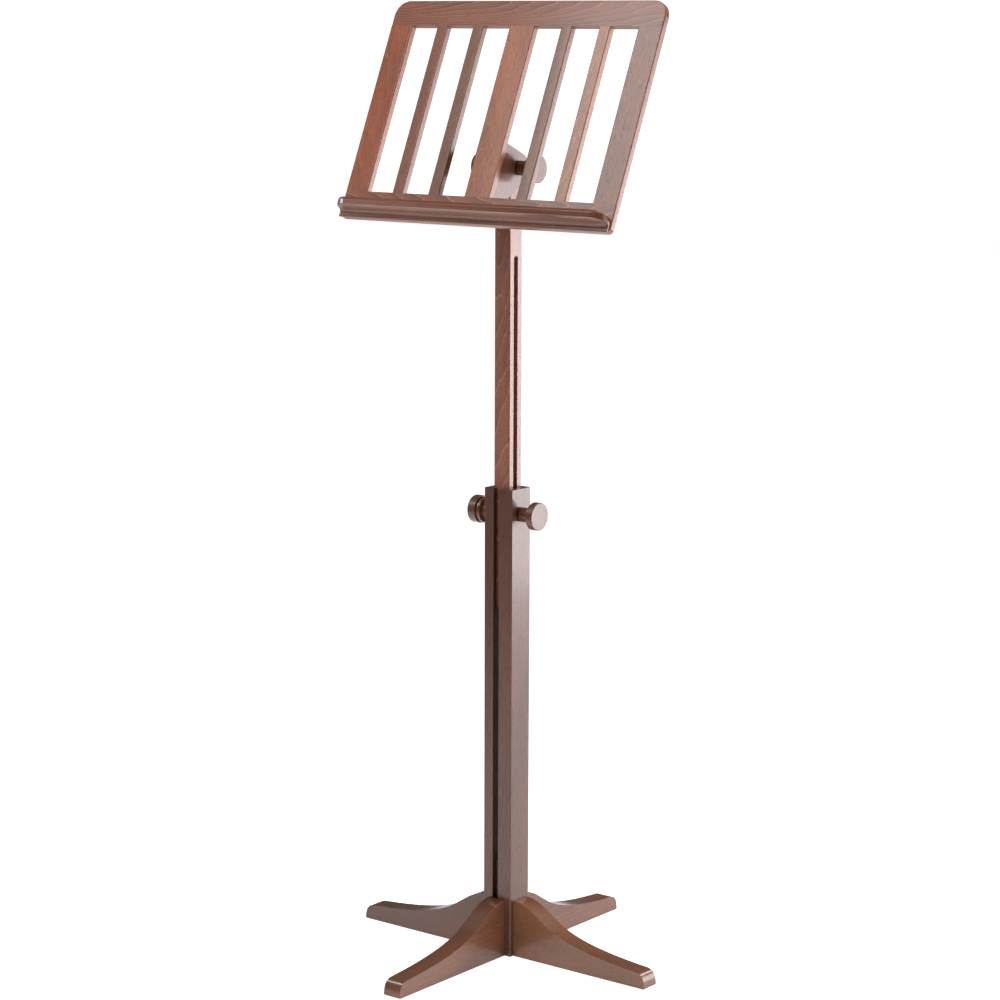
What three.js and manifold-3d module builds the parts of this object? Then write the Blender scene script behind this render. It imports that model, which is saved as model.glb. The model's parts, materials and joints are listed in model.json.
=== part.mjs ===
// A free-standing wooden music stand: four swept feet, a square column of two rails, a slotted mast that
// slides in it, and a slatted desk that tilts on the mast's head. Two pairs of turned knobs clamp both moves.
//
// Frame: millimetres, +Z up, origin on the floor under the column's axis. +X is the player's right hand and
// -Y faces the player, so the desk leans back towards +Y.

import * as THREE from "three";
import { mergeVertices } from "three/addons/utils/BufferGeometryUtils.js";
import Module from "manifold-3d";

const wasm = await Module();
wasm.setup();

// Column: two identical channel rails that face each other, half a turn apart.
const COLUMN_X = 51;
const COLUMN_Y = 44;
const COLUMN_TOP = 708;
const CAVITY = 29;
const RAIL_GAP_LEFT = -8.5;
const RAIL_GAP_RIGHT = 1.5;
const BLOCK_HEIGHT = 144;

// Feet: one on each face of the column.
const FOOT_WIDTH = 30;
const FOOT_REACH = 265.5;
const FOOT_ROOT_HEIGHT = 87;
const FOOT_TIP_HEIGHT = 24;
const PAD_THICKNESS = 1;
const PAD_RADIUS = 9;
const PAD_REACH = 240;
const DOWEL_RADIUS = 4;
const DOWEL_IN_FOOT = 25;
const DOWEL_IN_COLUMN = 20;
const SIDE_DOWEL_HEIGHTS = [22, 58];
const FRONT_DOWEL_HEIGHTS = [34, 70];
const FRONT_DOWEL_OFFSET = -3.5;

// Mast: a square post with one long through slot for the clamp stud.
const MAST = 28;
const SLOT_WIDTH = 8.6;
const SLOT_TOP = 1047;
const SLOT_BOTTOM = 567;
const MAST_BELOW_SLOT = 35;

// Clamps: one stud, two washers, two inserts and two knobs each.
const CLAMP_HEIGHT = 670;
const PIVOT_HEIGHT = 1173;
const STUD_RADIUS = 4;
const WASHER_RADIUS = 10.5;
const WASHER_THICKNESS = 1.5;
const INSERT_RADIUS = 6;
const INSERT_LENGTH = 15;
const KNOB_LENGTH = 32;
const KNOB_RADIUS = 20.5;
const NECK_RADIUS = 10.8;
const ROUND_OVER = 1;
const STUD_IN_KNOB = 19;

// Desk: a frame of flat bars, drawn upright with the tilt pivot as its own origin.
const DESK_LEAN = THREE.MathUtils.degToRad(23.5);
const DESK_WIDTH = 490;
const DESK_BOTTOM = -106.5;
const DESK_TOP = 235.5;
const DESK_FRONT = -53;
const BAR_THICKNESS = 11;
const TOP_RAIL = 39.5;
const BOTTOM_RAIL = 41.5;
const STILE_WIDTH = 40.5;
const CENTRE_WIDTH = 45;
const SLAT_WIDTH = 19;
const SLATS_PER_SIDE = 2;
const TOP_CORNER = 24;
const BOTTOM_CORNER = 8;
const TENON_LENGTH = 6;
const TENON_THICKNESS = 5;

// Ledge: a moulding on the front of the bottom rail.
const LEDGE_LENGTH = 486;
const LEDGE_DEPTH = 28;
const LEDGE_FOOT = 3;
const LEDGE_HEIGHT = 24;
const NOSE_THICKNESS = 12;
const NOSE_ROUND = 6;
const NOSE_SLOPE = 1.5;
const LEDGE_CORNER = 11.5;
const TROUGH_DEPTH = 2;
const LEDGE_FLAT = 7;
const COVE_DROP = 6.5;

// Cheeks: the two plates behind the centre bar that straddle the mast's head.
const CHEEK_THICKNESS = 5.5;
const CHEEK_HEAD = 22;
const CHEEK_LOW_END = -97;
const CHEEK_HOUSING = 5;
const HOUSING_TOP = 16;
const HOUSING_BOTTOM = -57;

// Clearances.
const TOUCH_GAP = 0.3;
const HOLE_PLAY = 0.3;

const LACQUERED_WOOD = { color: 0x6f4636, roughness: 0.38, metalness: 0 };
const DESK_WOOD = { color: 0x8a5a45, roughness: 0.38, metalness: 0 };
const RAW_WOOD = { color: 0xc9a477, roughness: 0.7, metalness: 0 };
const STEEL = { color: 0x9a9a9c, roughness: 0.35, metalness: 1 };
const BRASS = { color: 0xb8933f, roughness: 0.35, metalness: 1 };
const FELT = { color: 0x3a3230, roughness: 0.95, metalness: 0 };

const ARC_SEGMENTS = 10;
const ROUND_SIDES = 16;
const KNOB_SIDES = 28;
const HALF = 0.5;

function piece(name, geometry, finish) {
  const mesh = new THREE.Mesh(geometry, new THREE.MeshStandardMaterial(finish));
  mesh.name = name;
  return mesh;
}

function toSolid(geometry) {
  const bare = geometry.clone();
  bare.deleteAttribute("normal");
  bare.deleteAttribute("uv");
  const merged = mergeVertices(bare, 1e-4);
  const vertProperties = new Float32Array(merged.attributes.position.array);
  const triVerts = new Uint32Array(merged.index.array);
  return new wasm.Manifold(new wasm.Mesh({ numProp: 3, vertProperties, triVerts }));
}

function fromSolid(solid) {
  const mesh = solid.getMesh();
  const geometry = new THREE.BufferGeometry();
  geometry.setAttribute("position", new THREE.BufferAttribute(mesh.vertProperties, 3));
  geometry.setIndex(new THREE.BufferAttribute(mesh.triVerts, 1));
  geometry.computeVertexNormals();
  return geometry;
}

function cut(geometry, ...tools) {
  const solid = tools.reduce((rest, tool) => rest.subtract(toSolid(tool)), toSolid(geometry));
  return fromSolid(solid);
}

function common(first, second) {
  return fromSolid(toSolid(first).intersect(toSolid(second)));
}

function outline(points) {
  return new THREE.Shape(points.map(([x, y]) => new THREE.Vector2(x, y)));
}

function extrude(shape, depth) {
  return new THREE.ExtrudeGeometry(shape, { depth, bevelEnabled: false, curveSegments: ARC_SEGMENTS });
}

// An outline drawn in (Y, Z), extruded along X from `from` to `to`.
function alongX(shape, from, to) {
  const geometry = extrude(shape, to - from);
  const turn = new THREE.Matrix4().set(0, 0, 1, from, 1, 0, 0, 0, 0, 1, 0, 0, 0, 0, 0, 1);
  return geometry.applyMatrix4(turn);
}

// An outline drawn in (X, Z), extruded along Y from `from` to `to`.
function alongY(shape, from, to) {
  const geometry = extrude(shape, to - from);
  return geometry.rotateX(Math.PI / 2).translate(0, to, 0);
}

// An outline drawn in (X, Y), extruded along Z from `from` to `to`.
function alongZ(shape, from, to) {
  const geometry = extrude(shape, to - from);
  return geometry.translate(0, 0, from);
}

function box(x0, x1, y0, y1, z0, z1) {
  const geometry = new THREE.BoxGeometry(x1 - x0, y1 - y0, z1 - z0);
  return geometry.translate((x0 + x1) * HALF, (y0 + y1) * HALF, (z0 + z1) * HALF);
}

// A round bar along X at a height.
function roundAlongX(radius, x0, x1, y, z) {
  const geometry = new THREE.CylinderGeometry(radius, radius, x1 - x0, ROUND_SIDES);
  return geometry.rotateZ(Math.PI / 2).translate((x0 + x1) * HALF, y, z);
}

function squareShape(size) {
  const half = size * HALF;
  return outline([[-half, -half], [half, -half], [half, half], [-half, half]]);
}

function ring(outer, inner, length) {
  const profile = [[inner, 0], [outer, 0], [outer, length], [inner, length], [inner, 0]];
  const points = profile.map(([r, t]) => new THREE.Vector2(r, t));
  return new THREE.LatheGeometry(points, ROUND_SIDES);
}

// ---- Base -----------------------------------------------------------------------------------------------

// The rail on the player's right: an outer wall with a wide front lip and a narrow back lip.
function railShape() {
  const x = COLUMN_X * HALF;
  const y = COLUMN_Y * HALF;
  const inner = CAVITY * HALF;
  return outline([
    [RAIL_GAP_RIGHT, -y],
    [x, -y],
    [x, y],
    [-RAIL_GAP_LEFT, y],
    [-RAIL_GAP_LEFT, inner],
    [inner, inner],
    [inner, -inner],
    [RAIL_GAP_RIGHT, -inner],
  ]);
}

function columnRail(name) {
  const wall = COLUMN_X * HALF;
  const clampHole = roundAlongX(STUD_RADIUS + HOLE_PLAY, 0, wall + 1, 0, CLAMP_HEIGHT);
  const dowelHoles = SIDE_DOWEL_HEIGHTS.map((z) => roundAlongX(DOWEL_RADIUS + HOLE_PLAY, 0, wall + 1, 0, z));
  const body = alongZ(railShape(), PAD_THICKNESS, COLUMN_TOP);
  return piece(name, cut(body, clampHole, ...dowelHoles), LACQUERED_WOOD);
}

// The block glued in the column's foot, drilled for the dowels of all four feet.
function baseBlock() {
  const body = alongZ(squareShape(CAVITY - 2 * TOUCH_GAP), PAD_THICKNESS, BLOCK_HEIGHT);
  const reach = COLUMN_X * HALF - DOWEL_IN_COLUMN - TOUCH_GAP;
  const side = SIDE_DOWEL_HEIGHTS.flatMap((z) => [
    roundAlongX(DOWEL_RADIUS + HOLE_PLAY, reach, CAVITY, 0, z),
    roundAlongX(DOWEL_RADIUS + HOLE_PLAY, -CAVITY, -reach, 0, z),
  ]);
  const depth = COLUMN_Y * HALF - DOWEL_IN_COLUMN - TOUCH_GAP;
  const front = FRONT_DOWEL_HEIGHTS.flatMap((z) => {
    const hole = roundAlongX(DOWEL_RADIUS + HOLE_PLAY, depth, CAVITY, FRONT_DOWEL_OFFSET, z);
    return [hole.clone().rotateZ(-Math.PI / 2), hole.clone().rotateZ(Math.PI / 2)];
  });
  return piece("column_base_block", cut(body, ...side, ...front), RAW_WOOD);
}

// A foot's side, with r measured out from the column's axis: an S-curve down to a blunt rounded toe.
function footShape(root) {
  const shape = new THREE.Shape();
  shape.moveTo(root, PAD_THICKNESS);
  shape.lineTo(FOOT_REACH, PAD_THICKNESS);
  shape.quadraticCurveTo(FOOT_REACH - 1, 22, FOOT_REACH - 14, FOOT_TIP_HEIGHT);
  shape.bezierCurveTo(161, 30.5, 110, 42, 80, 61.5);
  shape.bezierCurveTo(62, 73, 48, FOOT_ROOT_HEIGHT, root, FOOT_ROOT_HEIGHT);
  shape.closePath();
  return shape;
}

function foot(name, root, dowelHeights, dowelOffset) {
  const body = alongY(footShape(root), -FOOT_WIDTH * HALF, FOOT_WIDTH * HALF);
  const end = root + DOWEL_IN_FOOT + TOUCH_GAP;
  const holes = dowelHeights.map((z) => roundAlongX(DOWEL_RADIUS + HOLE_PLAY, root - 1, end, dowelOffset, z));
  return piece(`foot_${name}`, cut(body, ...holes), LACQUERED_WOOD);
}

function footPad(name) {
  const geometry = new THREE.CylinderGeometry(PAD_RADIUS, PAD_RADIUS, PAD_THICKNESS, ROUND_SIDES);
  geometry.rotateX(Math.PI / 2).translate(PAD_REACH, 0, PAD_THICKNESS * HALF);
  return piece(`foot_pad_${name}`, geometry, FELT);
}

function footGroup(name, turn, columnSize, dowelHeights, dowelOffset) {
  const root = columnSize * HALF;
  const group = new THREE.Group();
  group.rotation.z = turn;
  group.add(foot(name, root, dowelHeights, dowelOffset));
  group.add(footPad(name));
  dowelHeights.forEach((z, index) => {
    const bar = roundAlongX(DOWEL_RADIUS, root - DOWEL_IN_COLUMN, root + DOWEL_IN_FOOT, dowelOffset, z);
    group.add(piece(`foot_dowel_${name}_${index + 1}`, bar, RAW_WOOD));
  });
  return group;
}

function base() {
  const group = new THREE.Group();
  const left = columnRail("column_rail_left");
  left.rotation.z = Math.PI;
  group.add(columnRail("column_rail_right"), left, baseBlock());
  group.add(footGroup("right", 0, COLUMN_X, SIDE_DOWEL_HEIGHTS, 0));
  group.add(footGroup("back", Math.PI / 2, COLUMN_Y, FRONT_DOWEL_HEIGHTS, FRONT_DOWEL_OFFSET));
  group.add(footGroup("left", Math.PI, COLUMN_X, SIDE_DOWEL_HEIGHTS, 0));
  group.add(footGroup("front", -Math.PI / 2, COLUMN_Y, FRONT_DOWEL_HEIGHTS, FRONT_DOWEL_OFFSET));
  return group;
}

// ---- Clamps ---------------------------------------------------------------------------------------------

// The outer half of a knob's section, as [radius, distance] from the neck. The player's right-hand knobs
// have a long plain neck; the left-hand ones are turned with a collar and a bead.
function knobOutline(side) {
  const rim = KNOB_RADIUS;
  if (side === "right") {
    return [
      [NECK_RADIUS, 0],
      [NECK_RADIUS, 14],
      [NECK_RADIUS + 2, 17],
      [rim - 3.5, 19.5],
      [rim, 21.5],
    ];
  }
  return [
    [NECK_RADIUS + 3.5, 0],
    [NECK_RADIUS + 5, 2.5],
    [NECK_RADIUS + 4, 6.5],
    [NECK_RADIUS + 3, 9],
    [rim - 2, 10.5],
    [rim - 1.2, 13.5],
    [rim - 2, 16.5],
    [rim - 4, 17.5],
    [rim, 19.5],
  ];
}

// Half a knob's section, from the bore at the neck end out to the flat cap.
function knobProfile(side) {
  const bore = INSERT_RADIUS + HOLE_PLAY;
  const rim = KNOB_RADIUS;
  return [
    [0, STUD_IN_KNOB + TOUCH_GAP],
    [bore, STUD_IN_KNOB + TOUCH_GAP],
    [bore, 0],
    ...knobOutline(side),
    [rim, KNOB_LENGTH - ROUND_OVER],
    [rim - ROUND_OVER, KNOB_LENGTH],
    [0, KNOB_LENGTH],
  ].map(([r, t]) => new THREE.Vector2(r, t));
}

// One clamping set drawn on the +X side of `face`: washer, insert and knob.
function knobSet(clamp, side, face) {
  const group = new THREE.Group();
  const washer = ring(WASHER_RADIUS, STUD_RADIUS + HOLE_PLAY, WASHER_THICKNESS);
  const neck = face + 2 * TOUCH_GAP + WASHER_THICKNESS;
  const insert = ring(INSERT_RADIUS, STUD_RADIUS + HOLE_PLAY, INSERT_LENGTH);
  const knob = new THREE.LatheGeometry(knobProfile(side), KNOB_SIDES);
  const toX = (geometry, x) => geometry.rotateZ(-Math.PI / 2).translate(x, 0, 0);
  group.add(piece(`${clamp}_washer_${side}`, toX(washer, face + TOUCH_GAP), STEEL));
  group.add(piece(`${clamp}_insert_${side}`, toX(insert, neck + TOUCH_GAP), BRASS));
  group.add(piece(`${clamp}_knob_${side}`, toX(knob, neck), LACQUERED_WOOD));
  group.rotation.z = side === "left" ? Math.PI : 0;
  return group;
}

function clampSet(clamp, face, height) {
  const group = new THREE.Group();
  const end = face + 2 * TOUCH_GAP + WASHER_THICKNESS + STUD_IN_KNOB;
  group.add(piece(`${clamp}_stud`, roundAlongX(STUD_RADIUS, -end, end, 0, 0), STEEL));
  group.add(knobSet(clamp, "right", face));
  group.add(knobSet(clamp, "left", face));
  group.position.z = height;
  return group;
}

// ---- Mast -----------------------------------------------------------------------------------------------

function mastShape() {
  const half = MAST * HALF;
  const bottom = SLOT_BOTTOM - MAST_BELOW_SLOT;
  const slot = SLOT_WIDTH * HALF;
  const shape = new THREE.Shape();
  shape.moveTo(-half, bottom);
  shape.lineTo(half, bottom);
  shape.lineTo(half, PIVOT_HEIGHT);
  shape.absarc(0, PIVOT_HEIGHT, half, 0, Math.PI, false);
  shape.closePath();
  const opening = new THREE.Path();
  opening.absarc(0, SLOT_TOP - slot, slot, 0, Math.PI, false);
  opening.absarc(0, SLOT_BOTTOM + slot, slot, Math.PI, 2 * Math.PI, false);
  opening.closePath();
  const pivotHole = new THREE.Path();
  pivotHole.absarc(0, PIVOT_HEIGHT, STUD_RADIUS + HOLE_PLAY, 0, 2 * Math.PI, false);
  shape.holes.push(opening, pivotHole);
  return shape;
}

function mast() {
  const half = MAST * HALF;
  return piece("mast_post", alongX(mastShape(), -half, half), LACQUERED_WOOD);
}

// ---- Desk (drawn upright about the tilt pivot) ----------------------------------------------------------

const DESK_BACK = DESK_FRONT + BAR_THICKNESS;
const DESK_SIDE = DESK_WIDTH * HALF;
const OPENING_BOTTOM = DESK_BOTTOM + BOTTOM_RAIL;
const OPENING_TOP = DESK_TOP - TOP_RAIL;

// Every upright bar's name, its centre across the desk and its width.
function uprights() {
  const stile = DESK_SIDE - STILE_WIDTH * HALF;
  const clear = DESK_SIDE - STILE_WIDTH - CENTRE_WIDTH * HALF - SLATS_PER_SIDE * SLAT_WIDTH;
  const gap = clear / (SLATS_PER_SIDE + 1);
  const inner = CENTRE_WIDTH * HALF + gap + SLAT_WIDTH * HALF;
  const outer = inner + gap + SLAT_WIDTH;
  return [
    ["desk_stile_left", -stile, STILE_WIDTH],
    ["desk_slat_left_outer", -outer, SLAT_WIDTH],
    ["desk_slat_left_inner", -inner, SLAT_WIDTH],
    ["desk_centre_bar", 0, CENTRE_WIDTH],
    ["desk_slat_right_inner", inner, SLAT_WIDTH],
    ["desk_slat_right_outer", outer, SLAT_WIDTH],
    ["desk_stile_right", stile, STILE_WIDTH],
  ];
}

// An upright bar's side, with a tenon at each end.
function uprightShape() {
  const bottom = OPENING_BOTTOM + TOUCH_GAP;
  const top = OPENING_TOP - TOUCH_GAP;
  const step = (BAR_THICKNESS - TENON_THICKNESS) * HALF;
  return outline([
    [DESK_FRONT, bottom],
    [DESK_FRONT + step, bottom],
    [DESK_FRONT + step, bottom - TENON_LENGTH],
    [DESK_BACK - step, bottom - TENON_LENGTH],
    [DESK_BACK - step, bottom],
    [DESK_BACK, bottom],
    [DESK_BACK, top],
    [DESK_BACK - step, top],
    [DESK_BACK - step, top + TENON_LENGTH],
    [DESK_FRONT + step, top + TENON_LENGTH],
    [DESK_FRONT + step, top],
    [DESK_FRONT, top],
  ]);
}

function upright([name, centre, width]) {
  const body = alongX(uprightShape(), centre - width * HALF, centre + width * HALF);
  const housings = name === "desk_centre_bar" ? [-1, 1].map(cheekHousing) : [];
  return piece(name, housings.length ? cut(body, ...housings) : body, DESK_WOOD);
}

// The mortises that the uprights' tenons enter, cut from `edge` into a rail in direction `into`.
function mortises(edge, into) {
  const step = (BAR_THICKNESS - TENON_THICKNESS) * HALF - TOUCH_GAP;
  const far = edge + into * (TENON_LENGTH + TOUCH_GAP);
  const near = edge - into;
  return uprights().map(([name, centre, width]) => {
    const half = width * HALF + (name.includes("stile") ? 1 : TOUCH_GAP);
    const low = Math.min(near, far);
    const high = Math.max(near, far);
    return box(centre - half, centre + half, DESK_FRONT + step, DESK_BACK - step, low, high);
  });
}

// A quarter-round corner of a rail's outline, centred `round` in from both of its edges.
function corner(shape, side, edge, round, start) {
  const x = side * (DESK_SIDE - round);
  const z = edge - Math.sign(edge) * round;
  shape.absarc(x, z, round, start, start + Math.PI / 2, false);
}

function topRail() {
  const shape = new THREE.Shape();
  shape.moveTo(-DESK_SIDE, OPENING_TOP);
  shape.lineTo(DESK_SIDE, OPENING_TOP);
  corner(shape, 1, DESK_TOP, TOP_CORNER, 0);
  corner(shape, -1, DESK_TOP, TOP_CORNER, Math.PI / 2);
  shape.closePath();
  const body = alongY(shape, DESK_FRONT, DESK_BACK);
  return piece("desk_top_rail", cut(body, ...mortises(OPENING_TOP, 1)), DESK_WOOD);
}

function bottomRail() {
  const shape = new THREE.Shape();
  shape.moveTo(DESK_SIDE, OPENING_BOTTOM);
  shape.lineTo(-DESK_SIDE, OPENING_BOTTOM);
  corner(shape, -1, DESK_BOTTOM, BOTTOM_CORNER, Math.PI);
  corner(shape, 1, DESK_BOTTOM, BOTTOM_CORNER, 1.5 * Math.PI);
  shape.closePath();
  const body = alongY(shape, DESK_FRONT, DESK_BACK);
  return piece("desk_bottom_rail", cut(body, ...mortises(OPENING_BOTTOM, -1)), DESK_WOOD);
}

// The ledge's section: a thick rounded nose, a deep cove under it, and a shallow trough along the top.
function ledgeSection() {
  const back = DESK_FRONT - TOUCH_GAP;
  const front = DESK_FRONT - LEDGE_DEPTH;
  const foot = DESK_FRONT - LEDGE_FOOT;
  const top = DESK_BOTTOM + LEDGE_HEIGHT;
  const under = top - NOSE_THICKNESS;
  const crest = front + NOSE_ROUND;
  const shape = new THREE.Shape();
  shape.moveTo(back, DESK_BOTTOM);
  shape.lineTo(back, top);
  shape.lineTo(back - LEDGE_FLAT, top);
  shape.quadraticCurveTo((back - LEDGE_FLAT + crest) * HALF, top - 2 * TROUGH_DEPTH, crest, top);
  shape.absarc(crest, top - NOSE_ROUND, NOSE_ROUND, Math.PI / 2, Math.PI, false);
  shape.lineTo(front + NOSE_SLOPE, under);
  shape.quadraticCurveTo(foot, under, foot, under - COVE_DROP);
  shape.lineTo(foot, DESK_BOTTOM + ROUND_OVER);
  shape.lineTo(foot + ROUND_OVER, DESK_BOTTOM);
  shape.closePath();
  return shape;
}

// The ledge seen from the front, with the nose's two upper corners rounded down.
function ledgeFace() {
  const side = LEDGE_LENGTH * HALF;
  const top = DESK_BOTTOM + LEDGE_HEIGHT;
  const round = LEDGE_CORNER;
  const shape = new THREE.Shape();
  shape.moveTo(-side, DESK_BOTTOM - 1);
  shape.lineTo(side, DESK_BOTTOM - 1);
  shape.absarc(side - round, top - round, round, 0, Math.PI / 2, false);
  shape.absarc(-side + round, top - round, round, Math.PI / 2, Math.PI, false);
  shape.closePath();
  return shape;
}

function ledge() {
  const side = LEDGE_LENGTH * HALF;
  const moulding = alongX(ledgeSection(), -side, side);
  const face = alongY(ledgeFace(), DESK_FRONT - LEDGE_DEPTH - 1, DESK_FRONT + 1);
  return piece("desk_ledge", common(moulding, face), DESK_WOOD);
}

// A cheek's side: square at the desk, round at the pivot, and tapered down to the bottom rail.
function cheekShape() {
  const back = DESK_BACK + TOUCH_GAP;
  const low = new THREE.Vector2(back + 4, CHEEK_LOW_END);
  const reach = low.length();
  const tangent = Math.atan2(-low.y, -low.x) - Math.asin(CHEEK_HEAD / reach);
  const leave = tangent - Math.PI / 2;
  const shape = new THREE.Shape();
  shape.moveTo(back - CHEEK_HOUSING, HOUSING_BOTTOM);
  shape.lineTo(back, HOUSING_BOTTOM);
  shape.lineTo(back, CHEEK_LOW_END);
  shape.lineTo(low.x, low.y);
  shape.absarc(0, 0, CHEEK_HEAD, leave, Math.PI / 2, false);
  shape.lineTo(back, CHEEK_HEAD);
  shape.lineTo(back, HOUSING_TOP);
  shape.lineTo(back - CHEEK_HOUSING, HOUSING_TOP);
  shape.closePath();
  const hole = new THREE.Path();
  hole.absarc(0, 0, STUD_RADIUS + HOLE_PLAY, 0, 2 * Math.PI, false);
  shape.holes.push(hole);
  return shape;
}

const CHEEK_INNER = MAST * HALF + TOUCH_GAP;
const CHEEK_OUTER = CHEEK_INNER + CHEEK_THICKNESS;

function cheek(name, side) {
  const faces = [side * CHEEK_INNER, side * CHEEK_OUTER];
  return piece(name, alongX(cheekShape(), Math.min(...faces), Math.max(...faces)), LACQUERED_WOOD);
}

// The groove in the centre bar's back that takes one cheek's tongue.
function cheekHousing(side) {
  const inner = side * (CHEEK_INNER - TOUCH_GAP);
  const outer = side * (CHEEK_OUTER + TOUCH_GAP);
  const x0 = Math.min(inner, outer);
  const x1 = Math.max(inner, outer);
  const floor = DESK_BACK - CHEEK_HOUSING - TOUCH_GAP;
  return box(x0, x1, floor, DESK_BACK + 1, HOUSING_BOTTOM - TOUCH_GAP, HOUSING_TOP + TOUCH_GAP);
}

function desk() {
  const group = new THREE.Group();
  group.add(topRail(), bottomRail(), ledge());
  uprights().forEach((bar) => group.add(upright(bar)));
  group.add(cheek("tilt_cheek_left", -1), cheek("tilt_cheek_right", 1));
  group.position.z = PIVOT_HEIGHT;
  group.rotation.x = -DESK_LEAN;
  return group;
}

const stand = new THREE.Group();
stand.add(base(), mast(), desk());
stand.add(clampSet("height", COLUMN_X * HALF, CLAMP_HEIGHT));
stand.add(clampSet("tilt", CHEEK_OUTER, PIVOT_HEIGHT));

export default stand;
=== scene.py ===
"""The looks of a wooden music stand: stained beech, turned knobs, steel washers and felt pads.

The stand is a square column on four swept feet, a slotted mast that slides in the column, and a
slatted desk that tilts on the mast's head. Sizes are in metres, +Z is up and -Y faces the player.
"""

import json
import math

import bmesh
import bpy
from bpy.props import FloatProperty, FloatVectorProperty, PointerProperty
from mathutils import Euler, Matrix, Quaternion, Vector


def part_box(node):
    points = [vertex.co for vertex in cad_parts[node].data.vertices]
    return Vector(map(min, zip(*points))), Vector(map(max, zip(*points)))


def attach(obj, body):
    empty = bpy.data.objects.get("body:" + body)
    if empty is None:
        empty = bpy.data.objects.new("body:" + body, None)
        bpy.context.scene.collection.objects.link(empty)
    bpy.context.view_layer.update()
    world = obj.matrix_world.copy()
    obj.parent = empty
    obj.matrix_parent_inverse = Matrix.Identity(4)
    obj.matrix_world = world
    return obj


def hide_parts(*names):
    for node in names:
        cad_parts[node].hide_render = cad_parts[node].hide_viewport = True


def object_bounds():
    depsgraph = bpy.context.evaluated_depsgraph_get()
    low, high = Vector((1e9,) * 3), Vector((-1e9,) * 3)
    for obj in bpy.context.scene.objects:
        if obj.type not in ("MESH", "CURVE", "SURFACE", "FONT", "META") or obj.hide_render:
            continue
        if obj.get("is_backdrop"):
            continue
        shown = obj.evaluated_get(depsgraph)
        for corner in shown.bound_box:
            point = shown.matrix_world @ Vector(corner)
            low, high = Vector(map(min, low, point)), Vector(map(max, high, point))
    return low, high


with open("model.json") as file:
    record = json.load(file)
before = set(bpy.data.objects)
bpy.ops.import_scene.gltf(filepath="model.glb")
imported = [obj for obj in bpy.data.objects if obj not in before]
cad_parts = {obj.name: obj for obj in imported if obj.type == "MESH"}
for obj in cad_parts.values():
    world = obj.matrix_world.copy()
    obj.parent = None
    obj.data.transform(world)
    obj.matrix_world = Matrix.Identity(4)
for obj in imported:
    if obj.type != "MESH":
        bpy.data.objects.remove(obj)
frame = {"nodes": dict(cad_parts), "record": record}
CAD_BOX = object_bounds()

bl_info = {
    "name": "Music Stand Workshop",
    "version": (1, 0, 0),
    "blender": (4, 5, 0),
    "location": "3D View > Sidebar > Music Stand",
    "description": "Makes the wood, metal and felt pieces of a music stand around its fixed frame",
    "category": "Object",
}

MM = 0.001
WELD = 0.00001
X, Y, Z = range(3)
SIDES = {"left": -1, "right": 1}
EDGE_MARK = "rounded_edge"
QUARTER = math.pi / 2
SQUARE = 0.999  # least cosine of a direction that counts as along an axis
SHARP_ANGLE = math.radians(38)

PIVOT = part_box("tilt_stud")
PIVOT_HEIGHT = (PIVOT[0].z + PIVOT[1].z) / 2
DESK_LEAN = math.radians(23.5)
DESK_PLACE = Matrix.Translation((0, 0, PIVOT_HEIGHT)) @ Matrix.Rotation(-DESK_LEAN, 4, "X")


# ---- Sizes and colours that a user may change ----


def length(name, description, millimetres):
    kind = {"subtype": "DISTANCE", "unit": "LENGTH", "precision": 4}
    return FloatProperty(
        name=name, description=description, default=millimetres * MM, min=0, **kind
    )


def colour(name, description, rgb):
    return FloatVectorProperty(
        name=name, description=description, default=rgb, size=3, min=0, max=1, subtype="COLOR"
    )


class StandSizes(bpy.types.PropertyGroup):
    """How far the edges are rounded, and the shapes that a piece's outer box doesn't give."""

    bar_round: length("Bar edge", "Rounding of the desk bars' long edges", 1.6)
    rail_round: length("Rail edge", "Rounding of the desk rails' outer edges", 2.0)
    fine_round: length("Fine edge", "Rounding of edges that are only broken with paper", 0.5)
    top_corner: length("Top corner", "Radius of the desk's two top corners", 24)
    bottom_corner: length("Bottom corner", "Radius of the desk's two bottom corners", 8)
    post_round: length("Post edge", "Rounding of the column's and mast's corners", 1.3)
    wall: length("Column wall", "Thickness of the column rails' outer wall", 11)
    lip: length("Column lip", "Depth of the column rails' lips", 7.5)
    short_lip: length("Short lip", "Width of a column rail's narrow side, wall included", 17)
    slot_width: length("Slot width", "Width of the mast's slot", 8.6)
    slot_top: length("Slot top", "Height of the slot's upper end", 1047)
    slot_bottom: length("Slot bottom", "Height of the slot's lower end", 567)
    foot_round: length("Foot edge", "Rounding of the feet's upper edges and toes", 3.6)
    foot_root: length("Foot root", "Height of a foot where it meets the column", 87)
    foot_tip: length("Foot tip", "Height of a foot near its toe", 24)
    nose: length("Ledge nose", "Thickness of the ledge's nose", 12)
    nose_round: length("Nose round", "Rounding of the nose's upper front edge", 6)
    nose_slope: length("Nose slope", "How far the nose's front face leans back", 1.5)
    ledge_flat: length("Ledge flat", "Width of the flat strip behind the trough", 7)
    ledge_foot: length("Ledge foot", "Thickness of the ledge's lower edge", 2.7)
    ledge_corner: length("Ledge corner", "Radius of the ledge's two upper corners", 11.5)
    ledge_plan: length("Ledge plan", "Radius of the nose's two front corners seen from above", 24)
    cove_drop: length("Cove drop", "Height of the cove under the nose", 8)
    trough: length("Trough", "Depth of the pencil trough", 1.6)
    cheek_head: length("Cheek head", "Radius of a cheek round the pivot", 22)
    cheek_foot: length("Cheek foot", "Width of a cheek at its lower end", 4)
    neck: length("Knob neck", "Radius of the right knobs' plain necks", 10.8)
    collar: length("Knob collar", "Radius of the left knobs' collars", 14.3)
    rim_round: length("Knob rim", "Rounding of the knobs' rims", 1.2)


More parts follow.
